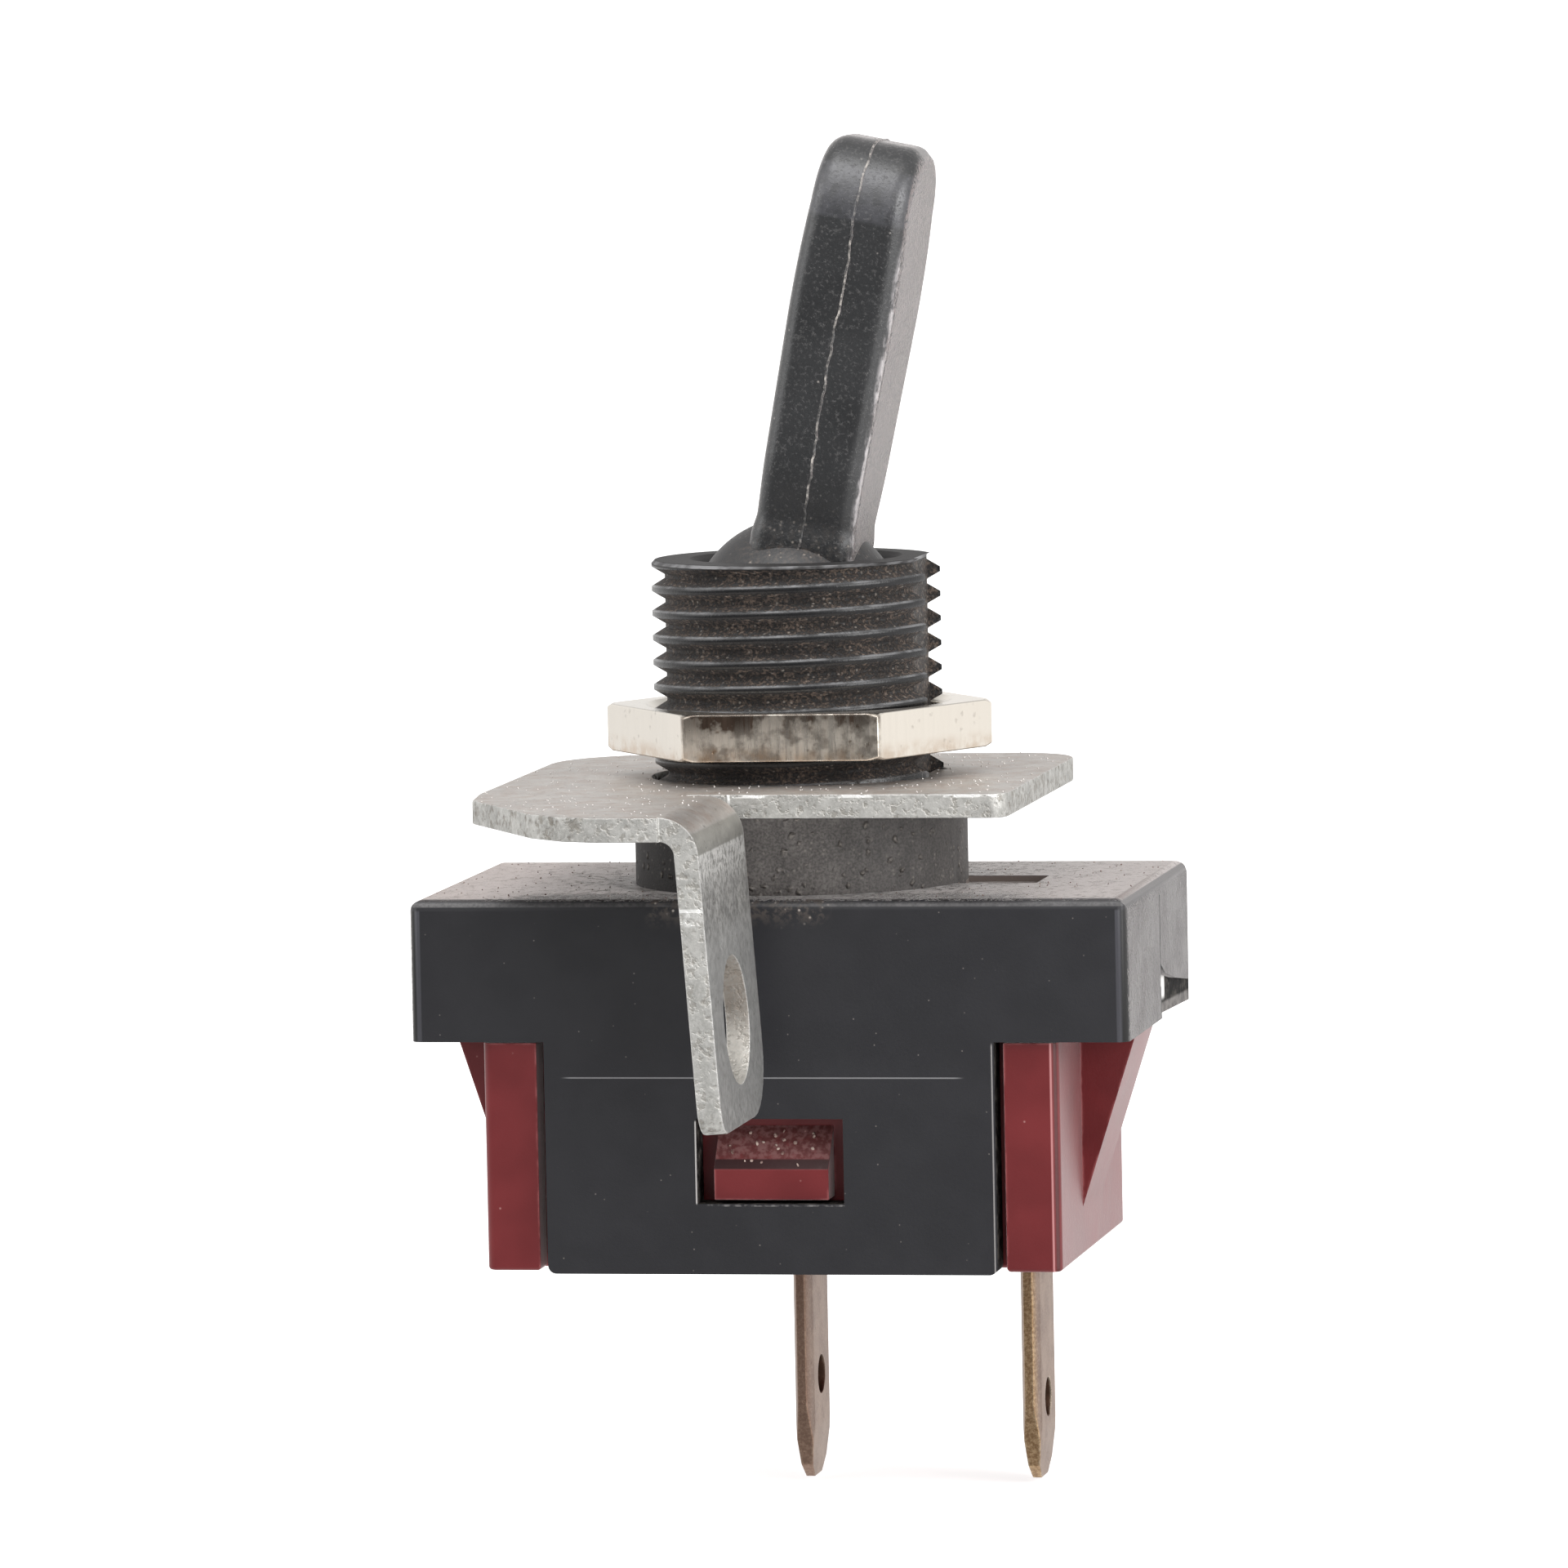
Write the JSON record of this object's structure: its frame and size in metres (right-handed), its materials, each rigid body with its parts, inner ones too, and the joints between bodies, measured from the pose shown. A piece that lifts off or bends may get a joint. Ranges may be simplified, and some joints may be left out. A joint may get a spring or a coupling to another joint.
{
  "type": "toggle switch",
  "caption": "Panel-mount toggle switch with a flat paddle lever, threaded bushing with nut, folded earth plate, clip-fit cover over a moulded base, and spade terminals.",
  "frame": {"origin": "on the bushing axis, at the neck shoulder that the earth plate and the panel bear on", "axes": "+Z along the bushing towards the lever, +X the way the lever leans at rest and where the switched terminal is, -Y the front with the folded lug"},
  "size_m": [0.0298, 0.0302, 0.0558],
  "materials": {
    "black_lever": "smooth moulded black plastic, lightly dusty",
    "black_cover": "fine matte moulded black plastic with dust in the corners",
    "red_base": "dull dark red moulded plastic",
    "nickel": "worn nickel plate",
    "zinc_plate": "zinc-plated punched sheet, pitted and greyed",
    "terminal_brass": "tarnished brass with bright cut edges",
    "steel": "plain steel",
    "white_plastic": "natural white plastic",
    "silver": "silver contact face"
  },
  "bodies": {
    "switch_body": {"housing_cover": "black_cover", "base": "red_base", "earth_plate": "zinc_plate", "common_terminal": "terminal_brass", "switched_terminal": "terminal_brass", "fixed_contact": "silver"},
    "lever": {"toggle_lever": "black_lever", "pivot_pin": "steel", "plunger_spring": "steel"},
    "plunger_body": {"plunger": "white_plastic"},
    "rocker_body": {"rocker": "terminal_brass", "moving_contact": "silver"},
    "nut": {"hex_nut": "nickel"}
  },
  "joints": [
    {"name": "lever_tilt", "type": "hinge", "parent": "switch_body", "child": "lever", "pos_m": [0, 0, 0.00716], "axis": [0, 1, 0], "range_deg": [-22.8, 0]},
    {"name": "plunger_slide", "type": "slide", "parent": "lever", "child": "plunger_body", "axis": [0.1977, 0, 0.9803], "range_m": [0, 0.0009], "stiffness_N_per_m": 900, "springref_m": -0.0025, "deforming": ["plunger_spring"]},
    {"name": "rocker_tilt", "type": "hinge", "parent": "switch_body", "child": "rocker_body", "pos_m": [0, 0, -0.01045], "axis": [0, 1, 0], "range_deg": [0, 14.01]},
    {"name": "nut_turn", "type": "hinge", "parent": "switch_body", "child": "nut", "pos_m": [0, 0, 0.003], "axis": [0, 0, 1], "continuous": true}
  ],
  "couplings": [
    {"joint": "rocker_tilt", "follows": "lever_tilt", "ratio": -0.61404}
  ]
}
